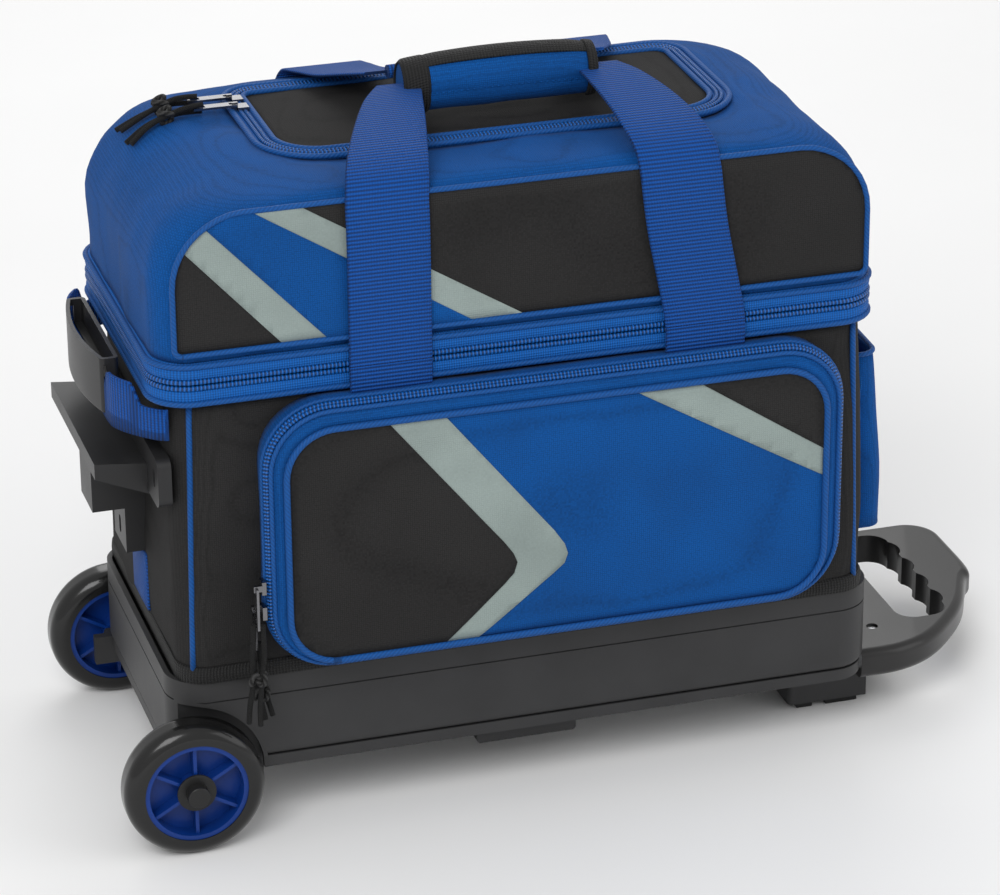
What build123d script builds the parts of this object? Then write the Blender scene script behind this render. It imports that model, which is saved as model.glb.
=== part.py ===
from build123d import *
import math
import os

# Rolling two-ball bowling bag. Millimetres. +X runs towards the pull handle, -X towards the
# wheels, -Y is the front with the big pocket, +Z is up. The origin is on the floor, under the
# middle of the bag.

# ---- wheels and axle
AXLE_X = -308.0
WHEEL_R = 52.5
HUB_R = 38.5
TYRE_WIDTH = 30.0
TYRE_SHOULDER = 11.0
WHEEL_FACE_Y = 149.3            # outer face of each tyre
WHEEL_INNER_Y = WHEEL_FACE_Y - TYRE_WIDTH
AXLE_R = 4.0
AXLE_END_Y = 152.0
CAP_END_Y = 157.0
ARCH_R = 57.0

# ---- moulded base
BASE_X0, BASE_X1 = -318.4, 227.0
BASE_Y = 124.0
BASE_CORNER = 28.0
SKIRT_Z = 51.0
TRAY_Z = 60.0
TRAY_TOP = 128.0
GROOVE_Z = 110.8
WALL = 4.0
RAIL_Y = 85.0
RAIL_Z = 48.0
RAIL_END_X = 224.0
FOOT_Y = (22.0, 70.0)           # the feet at the handle end
FOOT_PADS_X = ((188.0, 201.0), (212.0, 238.0))
PAD_T = 6.0

# ---- fabric body
BODY_X0, BODY_X1 = -310.0, 218.0
BODY_Y = 125.0
BODY_CORNER = 26.0
BODY_TOP = 347.0
FABRIC = 3.0
BINDING_TOP = 141.0

# ---- waist zipper, upper compartment and its hinge line
WAIST_X0, WAIST_X1 = -322.0, 221.0
WAIST_Y = 128.5
WAIST_SPLIT = 365.0
WAIST_TOP = 383.0
LID_X0, LID_X1 = -320.0, 218.0
LID_Y = 127.0
LID_TOP = 496.0
LID_END_R = 65.0
LID_CORNER = 30.0
LID_EDGE_R = 14.0
LID_PANEL_X0, LID_PANEL_X1 = -306.0, 210.0      # sewn-on front panel
LID_PANEL_TOP = 482.0
LID_PANEL_CORNER = 46.0
LID_PANEL_T = 1.6
GAP = 0.3                       # clearance between pieces that part

# ---- top opening of the upper compartment
TOP_X0, TOP_X1 = -216.0, 138.0
TOP_Y0, TOP_Y1 = -58.0, 98.0
TOP_ZIP_WIDTH = 10.0

# ---- front pocket
POCKET_X0, POCKET_X1 = -250.0, 187.0
POCKET_Z0, POCKET_Z1 = 142.0, 346.5
POCKET_FRONT = -152.0
POCKET_CORNER = 48.0

# ---- carry straps: two webbing loops that meet in the padded wrap
STRAP_WIDTH = 62.0
STRAP_X = (-152.0, 84.0)        # centres of the two legs
STRAP_T = 2.6
STRAP_IN_Y = 129.2              # the legs' inner face
STRAP_FOOT = (347.2, 338.0)      # bottom of the sewn ends, front and rear
STRAP_FOLD = 352.0              # first fold line of the front loop
STRAP_SECOND_FOLD = 384.0
STRAP_ARCH = {-1: [(125, 502), (112, 514), (88, 523), (50, 529)],      # front, as Y and Z
              1: [(125, 499), (112, 503), (88, 508), (50, 519)]}       # rear
GRIP_Z = 530.0
FRONT_GRIP_Y = -12.0
REAR_GRIP_Y = 13.0
WRAP_X0, WRAP_X1 = -108.0, 36.0
WRAP_HALF_DEPTH = 16.0
WRAP_Z0, WRAP_Z1 = 506.0, 547.0

# ---- pull handle
HANDLE_ROOT_X = 229.0
HANDLE_Z0, HANDLE_Z1 = 34.0, 58.0
HANDLE_END_X = 368.0
HANDLE_NEAR_Y, HANDLE_FAR_Y = -97.0, 112.0
HANDLE_FAR_CORNER = 28.0
HAND_HOLE = (300.0, 22.0)       # centre in X and Y
FINGER_PITCH = 30.0

# ---- fittings on the wheel end
BRACKET_OUT_X = -358.0
BRACKET_HALF = 78.0
BRACKET_LUG_HALF = 116.0
SCREW_PLACES = ((-102.0, 286.0), (102.0, 286.0), (0.0, 205.0))    # Y and Z
GRAB_OUT_X = -343.0
GRAB_Z0, GRAB_Z1 = 318.0, 358.0
GRAB_HALF = 70.0                # webbing runs straight between these, in Y
GRAB_GRIP_HALF = 60.0
GRAB_GRIP_Z0, GRAB_GRIP_Z1 = 321.0, 364.0
GRAB_HOLLOW_Z = 345.6           # floor of the grip's finger hollow

# ---- zipper sliders and their pulls
POCKET_SLIDER_Z = (210.0, 190.0)
POCKET_PULL_Y = (-149.6, -140.6)
POCKET_PULL_X = -259.0
TOP_SLIDER_Y = (52.0, 70.0)
TOP_PULL_Z = LID_TOP + 3 + GAP + 4.2
WAIST_SLIDER_Y = 40.0
WAIST_PULL_X = WAIST_X1 + 6.0
PULL_LENGTH = 31.0
PULL_WIDTH = 7.5
PULL_T = 1.8

# ---- cords on the pulls, as the corners of each route
CORD_D = 4.0
CORD_ROUTES = {
    "pocket_cord_upper_front": [(-262.4, -150.6, 183), (-262.9, -151.2, 170), (-264.3, -151.4, 157),
                                (-263.2, -150.2, 144), (-265.0, -151.8, 131), (-268.2, -153.4, 118),
                                (-268.6, -153.2, 106)],
    "pocket_cord_upper_back": [(-255.8, -152.2, 183), (-255.8, -152.8, 170), (-255.4, -153.4, 157),
                               (-258.2, -152.6, 144), (-258.6, -153.4, 131), (-261.0, -155.2, 118),
                               (-260.6, -155.4, 104)],
    "pocket_cord_lower_front": [(-262.4, -140.6, 163), (-262.0, -141.4, 151), (-260.4, -142.8, 139),
                                (-259.0, -141.8, 127), (-256.4, -143.4, 115), (-254.6, -145.2, 103)],
    "pocket_cord_lower_back": [(-255.8, -139.4, 163), (-255.6, -138.6, 151), (-254.0, -138.0, 139),
                               (-254.2, -138.4, 127), (-250.8, -139.2, 115), (-248.0, -140.8, 103)],
    "top_cord_front_upper": [(-240.2, 50.6, 506.8), (-253, 49.6, 506.0), (-266, 47.4, 503.0),
                             (-278, 45.8, 498.8), (-288, 42.4, 493.4), (-297, 37.6, 487.0)],
    "top_cord_front_lower": [(-240.2, 55.2, 500.2), (-253, 56.0, 500.4), (-266, 53.4, 499.6),
                             (-278, 51.6, 496.8), (-289, 49.4, 491.8), (-299, 45.8, 485.0)],
    "top_cord_rear_upper": [(-240.2, 68.6, 506.8), (-252, 70.6, 507.0), (-264, 70.0, 504.0),
                            (-276, 66.6, 500.0), (-288, 66.2, 493.6), (-298, 68.4, 486.4)],
    "top_cord_rear_lower": [(-240.2, 73.2, 500.2), (-252, 76.2, 500.6), (-264, 75.8, 499.8),
                            (-276, 72.4, 497.4), (-289, 72.8, 492.0), (-300, 76.0, 484.6)],
}


def save(shape, name):
    export_step(shape, f"parts/{name}.step")


def block(x0, x1, y0, y1, z0, z1):
    return Pos((x0 + x1) / 2, (y0 + y1) / 2, (z0 + z1) / 2) * Box(x1 - x0, y1 - y0, z1 - z0)


def slab(x0, x1, y0, y1, z0, z1, corner):
    """Box with its four upright edges rounded."""
    outline = Pos((x0 + x1) / 2, (y0 + y1) / 2, z0) * RectangleRounded(x1 - x0, y1 - y0, corner)
    return extrude(outline, z1 - z0, dir=(0, 0, 1))


def panel_xz(x0, x1, z0, z1, y0, y1, corner):
    """Upright panel facing -Y with rounded corners, from y0 back to y1."""
    sketch = Plane.XZ.offset(-y0) * Pos((x0 + x1) / 2, (z0 + z1) / 2) \
        * RectangleRounded(x1 - x0, z1 - z0, corner)
    return extrude(sketch, y1 - y0, dir=(0, 1, 0))


def rod_y(x, z, r, y0, y1):
    return Pos(x, (y0 + y1) / 2, z) * Rot(90, 0, 0) * Cylinder(r, y1 - y0)


def rod_x(y, z, r, x0, x1):
    return Pos((x0 + x1) / 2, y, z) * Rot(0, 90, 0) * Cylinder(r, x1 - x0)


def tube_x(y, z, side, wall, x0, x1):
    """Square steel tube along X."""
    outer = block(x0, x1, y - side / 2, y + side / 2, z - side / 2, z + side / 2)
    bore = side / 2 - wall
    return outer - block(x0 - 1, x1 + 1, y - bore, y + bore, z - bore, z + bore)


def prism_x(points, x0, x1):
    """Closed outline in Y and Z, carried along X."""
    face = make_face(Polyline(*[(x0, y, z) for y, z in points], close=True))
    return extrude(face, x1 - x0, dir=(1, 0, 0))


def both_sides(shape):
    return Compound([shape, mirror(shape, about=Plane.XZ)])


# ------------------------------------------------------------------ base
def base_tray():
    tray = slab(BASE_X0, BASE_X1, -BASE_Y, BASE_Y, TRAY_Z, TRAY_TOP, BASE_CORNER)
    tray = fillet(tray.edges().group_by(Axis.Z)[0], 7)
    inner = slab(BASE_X0 + WALL, BASE_X1 - WALL, -BASE_Y + WALL, BASE_Y - WALL,
                 TRAY_Z + WALL, TRAY_TOP + 1, BASE_CORNER - WALL)
    tray -= inner
    groove = slab(BASE_X0 - 1, BASE_X1 + 1, -BASE_Y - 1, BASE_Y + 1,
                  GROOVE_Z, GROOVE_Z + 1.2, BASE_CORNER + 1)
    groove -= slab(BASE_X0 + 1, BASE_X1 - 1, -BASE_Y + 1, BASE_Y - 1,
                   GROOVE_Z - 1, GROOVE_Z + 3, BASE_CORNER - 1)
    tray -= groove
    # each wheel arch is a liner round the tyre, closed on its inner side
    liner_inner_y = WHEEL_INNER_Y - 9
    hull = slab(BASE_X0, BASE_X1, -BASE_Y, BASE_Y, TRAY_Z, TRAY_TOP, BASE_CORNER)
    for side in (-1, 1):
        y0, y1 = sorted((side * liner_inner_y, side * (BASE_Y + 2)))
        liner = rod_y(AXLE_X, WHEEL_R, ARCH_R + 3, y0, y1) & hull
        tray += liner
        y0, y1 = sorted((side * (liner_inner_y + 3), side * (BASE_Y + 4)))
        tray -= rod_y(AXLE_X, WHEEL_R, ARCH_R, y0, y1)
    return tray


def base_skirt():
    inset = 2.0
    width = 4.0
    skirt = slab(BASE_X0 + inset, BASE_X1 - inset, -BASE_Y + inset, BASE_Y - inset,
                 SKIRT_Z, TRAY_Z, BASE_CORNER - inset)
    inner = inset + width
    skirt -= slab(BASE_X0 + inner, BASE_X1 - inner, -BASE_Y + inner, BASE_Y - inner,
                  SKIRT_Z - 1, TRAY_Z + 1, BASE_CORNER - inner)
    for side in (-1, 1):
        y0, y1 = sorted((side * 100, side * (BASE_Y + 2)))
        skirt -= rod_y(AXLE_X, WHEEL_R, ARCH_R, y0, y1)
    # the rails and the handle's root come out at the right end
    return skirt - block(BASE_X1 - 12, BASE_X1 + 2, -101, 118, SKIRT_Z - 1, TRAY_Z + 1)


def mid_feet():
    """Moulded guide blocks that wrap the outer rails under the middle of the base."""
    foot = block(-81, -3, 70, 98, 30, TRAY_Z)
    foot = fillet(foot.edges().filter_by(Axis.Y).group_by(Axis.Z)[0], 3)
    half = 9.0
    foot -= block(-90, 10, RAIL_Y - half, RAIL_Y + half, RAIL_Z - half, RAIL_Z + half)
    return both_sides(foot)


def end_feet():
    """Feet under the handle end, stepped so that the handle's root plate rests above them."""
    y0, y1 = FOOT_Y
    foot = block(180, 244, y0, y1, PAD_T, HANDLE_Z0 - 3)
    foot += block(180, BASE_X1 - 2, y0, y1, PAD_T, TRAY_Z)
    return both_sides(fillet(foot.edges().filter_by(Axis.Z).group_by(Axis.X)[0], 4))


def foot_pads():
    y0, y1 = FOOT_Y
    pads = []
    for x0, x1 in FOOT_PADS_X:
        pad = block(x0, x1, y0 + 4, y1 - 4, 0, PAD_T)
        pads.append(fillet(pad.edges().group_by(Axis.Z)[0], 1.5))
    return both_sides(Compound(pads))


def axle_brackets():
    """Plates that hang from the tray inside each wheel and carry the axle."""
    y0, y1 = 103.0, 110.0
    plate = block(-330, -249, y0, y1, 37, TRAY_Z)
    boss = rod_y(AXLE_X, WHEEL_R, 13, y0, WHEEL_INNER_Y - 1.5) & block(
        -330, -249, y0, WHEEL_INNER_Y, 37, TRAY_Z)
    bracket = plate + boss - rod_y(AXLE_X, WHEEL_R, AXLE_R, y0 - 1, WHEEL_INNER_Y)
    return both_sides(bracket)


def outer_rails():
    rail = tube_x(RAIL_Y, RAIL_Z, 18.0, 1.2, -245, RAIL_END_X)
    return both_sides(rail)


# ------------------------------------------------------------------ wheels
def tyre(side):
    y0, y1 = WHEEL_INNER_Y, WHEEL_FACE_Y
    ring = rod_y(AXLE_X, WHEEL_R, WHEEL_R, y0, y1)
    ring = fillet(ring.edges(), TYRE_SHOULDER)
    ring -= rod_y(AXLE_X, WHEEL_R, HUB_R, y0 - 1, y1 + 1)
    return ring if side > 0 else mirror(ring, about=Plane.XZ)


def hub(side):
    y0, y1 = WHEEL_INNER_Y + 1, WHEEL_FACE_Y - 1
    middle = (y0 + y1) / 2
    rim = rod_y(AXLE_X, WHEEL_R, HUB_R, y0, y1) - rod_y(AXLE_X, WHEEL_R, HUB_R - 3.5, y0 - 1, y1 + 1)
    web = rod_y(AXLE_X, WHEEL_R, HUB_R - 2, middle - 1.5, middle + 1.5)
    boss = rod_y(AXLE_X, WHEEL_R, 11, y0, y1 - 2)
    wheel = rim + web + boss
    for spoke in range(6):
        rib = Pos(0, middle, (11 + HUB_R) / 2 - 1) * Box(2.6, y1 - y0 - 6, HUB_R - 10)
        wheel += Pos(AXLE_X, 0, WHEEL_R) * Rot(0, 60 * spoke, 0) * rib
    wheel -= rod_y(AXLE_X, WHEEL_R, AXLE_R + 0.06, y0 - 1, y1 + 1)
    return wheel if side > 0 else mirror(wheel, about=Plane.XZ)


def axle():
    return rod_y(AXLE_X, WHEEL_R, AXLE_R, -AXLE_END_Y, AXLE_END_Y)


def wheel_washers():
    y0 = WHEEL_FACE_Y - 2.6
    return both_sides(rod_y(AXLE_X, WHEEL_R, 14.5, y0, y0 + 1.6)
                      - rod_y(AXLE_X, WHEEL_R, AXLE_R, y0 - 1, y0 + 3))


def axle_caps():
    y0 = WHEEL_FACE_Y - 1.0
    cap = rod_y(AXLE_X, WHEEL_R, 8.3, y0, CAP_END_Y)
    cap = fillet(cap.edges().sort_by(Axis.Y)[-1], 1.2)
    return both_sides(cap - rod_y(AXLE_X, WHEEL_R, AXLE_R, y0 - 1, AXLE_END_Y))


# ------------------------------------------------------------------ pull handle
def middle_tubes():
    return both_sides(tube_x(RAIL_Y, RAIL_Z, 15.0, 1.2, -235, 214))


def inner_tubes():
    return both_sides(tube_x(RAIL_Y, RAIL_Z, 12.0, 1.2, -225, 262))


def pull_grip():
    """Flat moulded handle: a root plate on the tubes and a bar with four finger hollows."""
    near = [(HANDLE_ROOT_X, HANDLE_NEAR_Y), (262, HANDLE_NEAR_Y + 1), (290, -85), (318, -60),
            (343, -26), (360, 8)]
    curve = Spline(*near, (HANDLE_END_X, 46), tangents=[(1, 0), (0, 1)])
    far, corner = HANDLE_FAR_Y, HANDLE_FAR_CORNER
    outline = curve + Polyline((HANDLE_END_X, 46), (HANDLE_END_X, far - corner))
    outline += RadiusArc((HANDLE_END_X, far - corner), (HANDLE_END_X - corner, far), -corner)
    outline += Polyline((HANDLE_END_X - corner, far), (HANDLE_ROOT_X, far), near[0])
    plate = extrude(Pos(0, 0, HANDLE_Z0) * make_face(outline), HANDLE_Z1 - HANDLE_Z0)
    plate = fillet(plate.edges().filter_by(GeomType.BSPLINE), 7)
    hole_x, hole_y = HAND_HOLE
    hole = Pos(hole_x, hole_y, HANDLE_Z0 - 1) * RectangleRounded(42, 150, 16)
    opening = extrude(hole, HANDLE_Z1 - HANDLE_Z0 + 2)
    # the finger hollows bite into the bar from the hand hole
    for finger in range(4):
        y = hole_y + FINGER_PITCH * (finger - 1.5) + 1
        opening += Pos(hole_x + 8, y, (HANDLE_Z0 + HANDLE_Z1) / 2) * Cylinder(17.5, 26)
    plate -= opening
    for side in (-1, 1):
        plate -= block(HANDLE_ROOT_X - 1, 262, side * RAIL_Y - 6, side * RAIL_Y + 6,
                       RAIL_Z - 6, RAIL_Z + 6)
        plate -= Pos(253, side * 57, HANDLE_Z1) * Cylinder(4.6, 8)
    return plate


def grip_screws():
    screw = Pos(253, 57, HANDLE_Z1 - 3) * Cylinder(4.3, 2)
    return both_sides(screw)


# ------------------------------------------------------------------ inside the lower compartment
def stiffener_board():
    return slab(-306, 215, -109, 109, TRAY_Z + WALL, TRAY_Z + WALL + 3, 18)


def ball_cups():
    """Two foam cups that cradle the balls."""
    z0 = TRAY_Z + WALL + 3
    cups = []
    for x in (-172, 84):
        cup = slab(x - 98, x + 98, -104, 104, z0, z0 + 40, 12)
        cups.append(cup - Pos(x, 0, z0 + 130) * Sphere(110))
    return Compound(cups)


def ball_divider():
    return slab(-48, -40, -112, 112, TRAY_Z + WALL + 3, 330, 3)


# ------------------------------------------------------------------ lower fabric body
def lower_body():
    body = slab(BODY_X0, BODY_X1, -BODY_Y, BODY_Y, TRAY_TOP, BODY_TOP, BODY_CORNER)
    return body - slab(BODY_X0 + FABRIC, BODY_X1 - FABRIC, -BODY_Y + FABRIC, BODY_Y - FABRIC,
                       TRAY_TOP - 1, BODY_TOP + 1, BODY_CORNER - FABRIC)


def base_binding():
    band = slab(BODY_X0 - 3, BODY_X1 + 3, -BODY_Y - 2.5, BODY_Y + 2.5, TRAY_TOP, BINDING_TOP, 28)
    return band - slab(BODY_X0, BODY_X1, -BODY_Y, BODY_Y, TRAY_TOP - 1, BINDING_TOP + 1, BODY_CORNER)


def front_pocket():
    """Gusset and back wall of the pocket; its front panel is a piece of its own."""
    back = -BODY_Y
    shell = panel_xz(POCKET_X0, POCKET_X1, POCKET_Z0, POCKET_Z1, POCKET_FRONT + FABRIC, back,
                     POCKET_CORNER)
    shell -= panel_xz(POCKET_X0 + FABRIC, POCKET_X1 - FABRIC, POCKET_Z0 + FABRIC, POCKET_Z1 - FABRIC,
                      POCKET_FRONT, back - 1.5, POCKET_CORNER - FABRIC)
    return shell


def pocket_panel():
    return panel_xz(POCKET_X0, POCKET_X1, POCKET_Z0, POCKET_Z1, POCKET_FRONT,
                    POCKET_FRONT + FABRIC, POCKET_CORNER)


def pocket_zipper():
    """Coil zipper round the left, top and right sides of the gusset."""
    stand = 1.4
    ring = panel_xz(POCKET_X0 - stand, POCKET_X1 + stand, POCKET_Z0 - stand, POCKET_Z1 + stand,
                    -148.5, -141.5, POCKET_CORNER + stand)
    ring -= panel_xz(POCKET_X0, POCKET_X1, POCKET_Z0, POCKET_Z1, -149, -141, POCKET_CORNER)
    return ring - block(POCKET_X0 - 5, POCKET_X1 + 5, -150, -140, 130, 172)


def side_pocket():
    """Open-topped pocket on the end by the pull handle."""
    x0 = BODY_X1
    shell = block(x0, x0 + 32, -82, 82, 158, 300)
    shell = fillet(shell.edges().filter_by(Axis.Z).group_by(Axis.X)[-1], 12)
    shell += block(x0, x0 + 1.5, -104, 104, 145, 300)
    return shell - block(x0 + 2, x0 + 29, -79, 79, 161, 301)


# ------------------------------------------------------------------ waist zipper
def waist_ring(z0, z1):
    ring = slab(WAIST_X0, WAIST_X1, -WAIST_Y, WAIST_Y, z0, z1, 30)
    return ring - slab(BODY_X0 + FABRIC, BODY_X1 - FABRIC, -BODY_Y + FABRIC, BODY_Y - FABRIC,
                       z0 - 1, z1 + 1, BODY_CORNER - FABRIC)


def waist_zip_lower():
    return waist_ring(BODY_TOP, WAIST_SPLIT - GAP)


def waist_zip_upper():
    return waist_ring(WAIST_SPLIT + GAP, WAIST_TOP)


# ------------------------------------------------------------------ upper compartment
def lid_form(shrink):
    """The upper compartment's outer form, or its inside when shrunk by the wall."""
    x0, x1 = LID_X0 + shrink, LID_X1 - shrink
    y, top = LID_Y - shrink, LID_TOP - shrink
    z0 = WAIST_TOP + shrink
    below = 90.0                # carries the lower rounded corners out of the form
    past = 5.0                  # each outline runs past the others' end faces
    ends = panel_xz(x0, x1, z0 - below, top, -y, y, LID_END_R - shrink)
    section = Pos(0, (z0 - below + top) / 2) * RectangleRounded(
        2 * y, top - z0 + below, LID_EDGE_R - shrink)
    edges = extrude(Plane.YZ.offset(x0 - past) * section, x1 - x0 + 2 * past, dir=(1, 0, 0))
    # the inside's upright corners are a little tighter, so that no two seams meet in one point
    plan = slab(x0, x1, -y, y, z0, top + past, LID_CORNER - 2 * shrink)
    return ends & edges & plan


def top_outline(inset, z0, z1):
    """Opening in the top: wide corners in front, tight corners at the hinge side."""
    x0, x1 = TOP_X0 + inset, TOP_X1 - inset
    y0, y1 = TOP_Y0 + inset, TOP_Y1 - inset
    front = slab(x0, x1, y0, y1, z0, z1, 45 - inset)
    rear = slab(x0, x1, y0 + 60, y1, z0, z1, 22 - inset)
    return front + rear


def upper_shell():
    """Soft box with a sewn-on front panel and the opening for the top flap."""
    shell = lid_form(0) - lid_form(FABRIC)
    shell -= top_outline(0, LID_TOP - 12, LID_TOP + 5)
    return shell + panel_xz(LID_PANEL_X0, LID_PANEL_X1, WAIST_TOP + 3, LID_PANEL_TOP,
                            -LID_Y - LID_PANEL_T, -LID_Y + FABRIC / 2, LID_PANEL_CORNER)


def top_zipper():
    z0, z1 = LID_TOP - 5, LID_TOP + 3
    return top_outline(0, z0, z1) - top_outline(TOP_ZIP_WIDTH, z0 - 1, z1 + 1)


def top_panel():
    return top_outline(TOP_ZIP_WIDTH, LID_TOP - 4, LID_TOP + 4)


# ------------------------------------------------------------------ carry straps
def strap_profile(side, z0, grip_y):
    """Outline of a leg in Y and Z: up the wall, over the top edge and in to the grip."""
    wall = [(STRAP_IN_Y, z0), (STRAP_IN_Y, 487)]
    inner = wall + STRAP_ARCH[side] + [(side * grip_y, GRIP_Z + 1)]
    wall_steps = 3              # points that move outwards, not upwards, by the thickness
    outer = [(y + STRAP_T, z) if i < wall_steps else (y, z + STRAP_T)
             for i, (y, z) in enumerate(inner)]
    return [(side * y, z) for y, z in inner + outer[::-1]]


def carry_loop(side, z0, grip_y):
    loop = None
    for x in STRAP_X:
        x0, x1 = x - STRAP_WIDTH / 2, x + STRAP_WIDTH / 2
        leg = prism_x(strap_profile(side, z0, grip_y), x0, x1)
        loop = leg if loop is None else loop + leg
    x0, x1 = STRAP_X[0] - STRAP_WIDTH / 2, STRAP_X[1] + STRAP_WIDTH / 2
    bar = block(x0, x1, grip_y - 6, grip_y + 6, GRIP_Z - 4, GRIP_Z + 4)
    return loop + bar


def front_strap():
    return carry_loop(-1, STRAP_SECOND_FOLD + GAP, FRONT_GRIP_Y)


def rear_strap():
    return carry_loop(1, WAIST_SPLIT + 1.3, REAR_GRIP_Y)


def strap_pieces(side, z0, z1):
    y0, y1 = sorted((side * STRAP_IN_Y, side * (STRAP_IN_Y + STRAP_T)))
    return Compound([block(x - STRAP_WIDTH / 2, x + STRAP_WIDTH / 2, y0, y1, z0, z1)
                     for x in STRAP_X])


def front_strap_folds():
    return strap_pieces(-1, STRAP_FOLD + GAP, STRAP_SECOND_FOLD)


def strap_anchors():
    """The sewn ends of both loops, on the front and the rear of the lower body."""
    pieces = list(strap_pieces(-1, STRAP_FOOT[0], STRAP_FOLD).solids())
    pieces += list(strap_pieces(1, STRAP_FOOT[1], WAIST_SPLIT - GAP).solids())
    return Compound(pieces)


def handle_wrap():
    """Padded cuff, taller than it is deep, that closes round both straps."""
    section = Plane.YZ.offset(WRAP_X0) * Pos(FRONT_GRIP_Y, (WRAP_Z0 + WRAP_Z1) / 2) \
        * Ellipse(WRAP_HALF_DEPTH, (WRAP_Z1 - WRAP_Z0) / 2)
    sleeve = extrude(section, WRAP_X1 - WRAP_X0, dir=(1, 0, 0))
    return sleeve - block(WRAP_X0 - 1, WRAP_X1 + 1, FRONT_GRIP_Y - 6.1, FRONT_GRIP_Y + 6.1,
                          GRIP_Z - 4.1, GRIP_Z + 4.1)


# ------------------------------------------------------------------ wheel-end fittings
def stand_bracket():
    """Moulded shelf that the bag leans on when it stands on its wheel end."""
    wall = BODY_X0
    out = BRACKET_OUT_X
    shelf = make_face(Polyline((wall, 0, 286), (out, 0, 291), (out, 0, 279), (wall, 0, 259),
                               close=True))
    shelf = extrude(shelf, BRACKET_HALF, both=True, dir=(0, 1, 0))
    shelf -= block(out + 5, wall - 6, -BRACKET_HALF + 5, BRACKET_HALF - 5, 250, 281)
    box = block(-350, wall, -20, 20, 226, 270) - block(-345, wall - 8, -15, 15, 220, 262)
    lugs = block(wall - 10, wall, -BRACKET_LUG_HALF, BRACKET_LUG_HALF, 266, 304)
    lugs = fillet(lugs.edges().filter_by(Axis.X), 8)
    foot = block(wall - 16, wall, -20, 20, 190, 228)
    bracket = shelf + box + lugs + foot
    for y, z in SCREW_PLACES:
        slot = Plane.YZ.offset(wall - 18) * Pos(y, z) * Rot(0, 0, 90) * SlotOverall(14, 6)
        bracket -= extrude(slot, 20, dir=(1, 0, 0))
    return bracket


def bracket_screws():
    wall = BODY_X0
    screws = []
    for y, z in SCREW_PLACES:
        screws.append(rod_x(y, z, 2.9, wall - 6, wall + FABRIC))
    return Compound(screws)


def end_webbing():
    """Webbing sewn up the wheel end under the bracket."""
    return block(BODY_X0 - 3, BODY_X0, -25, 25, BINDING_TOP + 1, 189)


def grab_webbing():
    path = [(BODY_X0 - 1.6, 114), (-330, 94), (GRAB_OUT_X, GRAB_HALF)]
    path += [(x, -y) for x, y in path[::-1]]
    line = Polyline(*[(x, y, GRAB_Z0) for x, y in path])
    strip = make_face(offset(line, 1.25, kind=Kind.INTERSECTION, side=Side.BOTH))
    webbing = extrude(strip, GRAB_Z1 - GRAB_Z0, dir=(0, 0, 1))
    # its upper edge is folded down inside the grip and where it is sewn under the waist zipper
    webbing -= block(GRAB_OUT_X - 5, GRAB_OUT_X + 5, -GRAB_GRIP_HALF, GRAB_GRIP_HALF,
                     GRAB_HOLLOW_Z - 0.6, GRAB_Z1 + 1)
    return webbing - block(WAIST_X0 - 5.5, BODY_X0 + 5, -120, 120, 342, GRAB_Z1 + 1)


def grab_grip():
    """Moulded hand grip round the webbing, bowed outwards and hollow above for the fingers."""
    inner_x, end_x, bow_x = GRAB_OUT_X + 10, GRAB_OUT_X - 3, GRAB_OUT_X - 11.5
    half = GRAB_GRIP_HALF
    outline = ThreePointArc((end_x, -half), (bow_x, 0), (end_x, half))
    outline += Polyline((end_x, half), (inner_x, half), (inner_x, -half), (end_x, -half))
    face = make_face(outline)
    face = fillet(face.vertices(), 4)
    grip = extrude(Pos(0, 0, GRAB_GRIP_Z0) * face, GRAB_GRIP_Z1 - GRAB_GRIP_Z0, dir=(0, 0, 1))
    grip = fillet(grip.edges().group_by(Axis.Z)[0], 3)
    hollow = Pos(0, 0, GRAB_HOLLOW_Z) * offset(face, -3)
    grip -= extrude(hollow, GRAB_GRIP_Z1 - GRAB_HOLLOW_Z + 1, dir=(0, 0, 1))
    return grip - block(GRAB_OUT_X - 1.35, GRAB_OUT_X + 1.35, -half - 1, half + 1,
                        GRAB_GRIP_Z0 - 1, GRAB_Z1 + 1)


# ------------------------------------------------------------------ zipper sliders and pulls
def pocket_slider(index):
    """Slider on the upright left side of the pocket, with a bail for its pull."""
    z, y = POCKET_SLIDER_Z[index], POCKET_PULL_Y[index]
    face = POCKET_X0 - 1.4 - GAP
    slider = block(face - 3.2, face, -149.6, -140.4, z - 5, z + 5)
    bail = block(POCKET_PULL_X - 2.2, face - 3, y - 1.3, y + 1.3, z - 1.4, z + 3.2)
    return slider + bail - rod_y(POCKET_PULL_X, z, 0.9, y - 2, y + 2)


def pocket_pull(index):
    """Flat tab that hangs from the slider's bail on a cross pin."""
    z, y = POCKET_SLIDER_Z[index], POCKET_PULL_Y[index]
    x = POCKET_PULL_X
    half = PULL_WIDTH / 2
    tab = block(x - PULL_T / 2, x + PULL_T / 2, y - half, y + half, z - PULL_LENGTH, z + 1.5)
    tab -= block(x - 3, x + 3, y - 1.7, y + 1.7, z - 5, z + 4)
    tab -= block(x - 3, x + 3, y - 2.2, y + 2.2, z - PULL_LENGTH + 2, z - PULL_LENGTH + 9)
    return tab + rod_y(x, z, 0.8, y - 1.8, y + 1.8)


def top_slider(index):
    y = TOP_SLIDER_Y[index]
    x = TOP_X0 + TOP_ZIP_WIDTH / 2
    top = LID_TOP + 3 + GAP
    slider = block(x - 3.6, x + 4.6, y - 5, y + 5, top, top + 3)
    bail = block(x - 7.6, x - 3, y - 1.3, y + 1.3, top + 0.2, top + 6)
    return slider + bail - rod_y(x - 5.4, TOP_PULL_Z, 0.9, y - 2, y + 2)


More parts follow.
